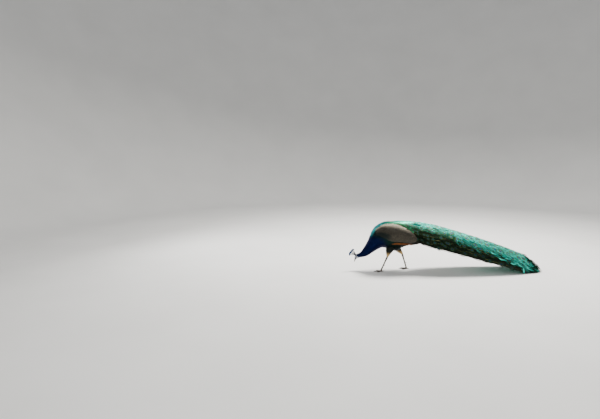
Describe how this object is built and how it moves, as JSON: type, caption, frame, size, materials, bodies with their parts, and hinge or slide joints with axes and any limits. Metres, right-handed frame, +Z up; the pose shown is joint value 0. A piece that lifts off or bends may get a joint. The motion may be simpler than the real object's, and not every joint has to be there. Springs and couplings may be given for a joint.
{
  "type": "peacock",
  "caption": "Life-size still model of an adult male Indian peafowl walking with its head lowered to feed and its folded green train trailing to the ground.",
  "frame": {"origin": "on the floor below the middle of the whole bird's box", "axes": "+Z up, -X the way the bird faces and walks, -Y its left side"},
  "size_m": [1.8752, 0.352, 0.498],
  "materials": {
    "blue_plumage": "glossy blue feathers of head, neck and breast",
    "dark_plumage": "blackish green feathers of belly and flanks",
    "barred_plumage": "cream feathers barred with black",
    "chestnut_plumage": "matt chestnut flight feathers",
    "train_plumage": "iridescent green train feathers",
    "tail_plumage": "dull brown tail feathers",
    "buff_plumage": "soft buff thigh feathers",
    "leg_scales": "horn-coloured leg scales",
    "bill_horn": "grey horn",
    "claw_horn": "dark horn",
    "eye": "wet dark brown eye"
  },
  "bodies": {
    "root": {"bill_lower": "bill_horn", "bill_upper": "bill_horn", "claw_hind_left": "claw_horn", "claw_hind_right": "claw_horn", "claw_inner_left": "claw_horn", "claw_inner_right": "claw_horn", "claw_middle_left": "claw_horn", "claw_middle_right": "claw_horn", "claw_outer_left": "claw_horn", "claw_outer_right": "claw_horn", "crest": "blue_plumage", "eye_left": "eye", "eye_right": "eye", "foot_left": "leg_scales", "foot_right": "leg_scales", "head": "blue_plumage", "neck_lower": "blue_plumage", "neck_upper": "blue_plumage", "primaries_left": "chestnut_plumage", "primaries_right": "chestnut_plumage", "shank_left": "leg_scales", "shank_right": "leg_scales", "spur_left": "claw_horn", "spur_right": "claw_horn", "tail": "tail_plumage", "thigh_left": "buff_plumage", "thigh_right": "buff_plumage", "train_end_back": "train_plumage", "train_end_left": "train_plumage", "train_end_right": "train_plumage", "train_middle_back": "train_plumage", "train_middle_left": "train_plumage", "train_middle_right": "train_plumage", "train_rump_back": "train_plumage", "train_rump_left": "train_plumage", "train_rump_right": "train_plumage", "train_upper_back": "train_plumage", "train_upper_left": "train_plumage", "train_upper_right": "train_plumage", "trunk": "dark_plumage", "wing_left": "barred_plumage", "wing_right": "barred_plumage"}
  },
  "joints": []
}
